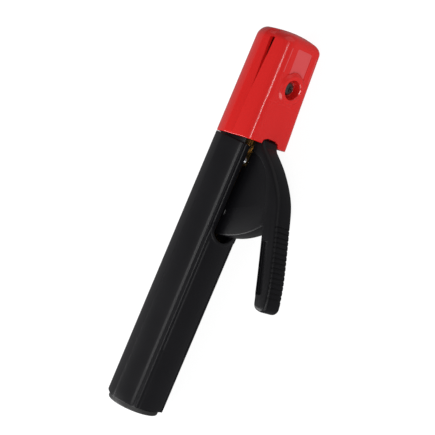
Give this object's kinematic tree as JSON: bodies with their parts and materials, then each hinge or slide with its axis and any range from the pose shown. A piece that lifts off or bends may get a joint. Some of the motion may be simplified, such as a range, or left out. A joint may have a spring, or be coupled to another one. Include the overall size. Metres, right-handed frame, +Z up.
{
  "type": "electrode holder",
  "caption": "Hand-held welding electrode holder: moulded handle, insulated jaw head and a spring-loaded lever that opens the jaws.",
  "frame": {"origin": "middle of the underside of the holder's box as it lies on its side", "axes": "+X along the handle towards the jaws, -Y towards the lever, +Z up along the pivot pin"},
  "size_m": [0.2492, 0.0922, 0.037],
  "materials": {
    "handle_black": "moulded, satin, faint flow marks",
    "lever_black": "moulded, satin",
    "head_red": "moulded, glossy heat-resistant plastic",
    "bush_rubber": "dull",
    "brass": "cast, slightly dulled",
    "copper_alloy": "machined, reddish copper alloy",
    "zinc_steel": "zinc plated",
    "spring_steel": "bright drawn wire"
  },
  "bodies": {
    "handle": {"handle_shell": "handle_black", "cable_bush": "bush_rubber", "handle_lock_screw": "zinc_steel", "contact_body": "brass", "fixed_jaw": "copper_alloy", "cable_ferrule": "copper_alloy", "pressure_plate": "zinc_steel", "clamp_screw_1": "zinc_steel", "clamp_screw_2": "zinc_steel", "pivot_pin": "zinc_steel", "pin_clip_upper": "spring_steel", "pin_clip_lower": "spring_steel", "thrust_washer_upper": "zinc_steel", "thrust_washer_lower": "zinc_steel", "lever_spring": "spring_steel", "spring_peg": "zinc_steel", "fixed_jaw_cap": "head_red", "fixed_cap_screw": "zinc_steel"},
    "lever": {"moving_arm": "brass", "moving_jaw": "copper_alloy", "moving_jaw_cap": "head_red", "moving_cap_screw": "zinc_steel", "pivot_bush": "brass", "lever_grip": "lever_black", "lever_core": "zinc_steel", "core_rivet": "zinc_steel"}
  },
  "joints": [
    {"name": "lever_pivot", "type": "hinge", "parent": "handle", "child": "lever", "pos_m": [0.05361, 0.02397, 0.01849], "axis": [0, 0, -1], "range_deg": [0, 16], "stiffness_Nm_per_rad": 2.2, "springref_deg": -31.51, "deforming": ["lever_spring"]}
  ]
}
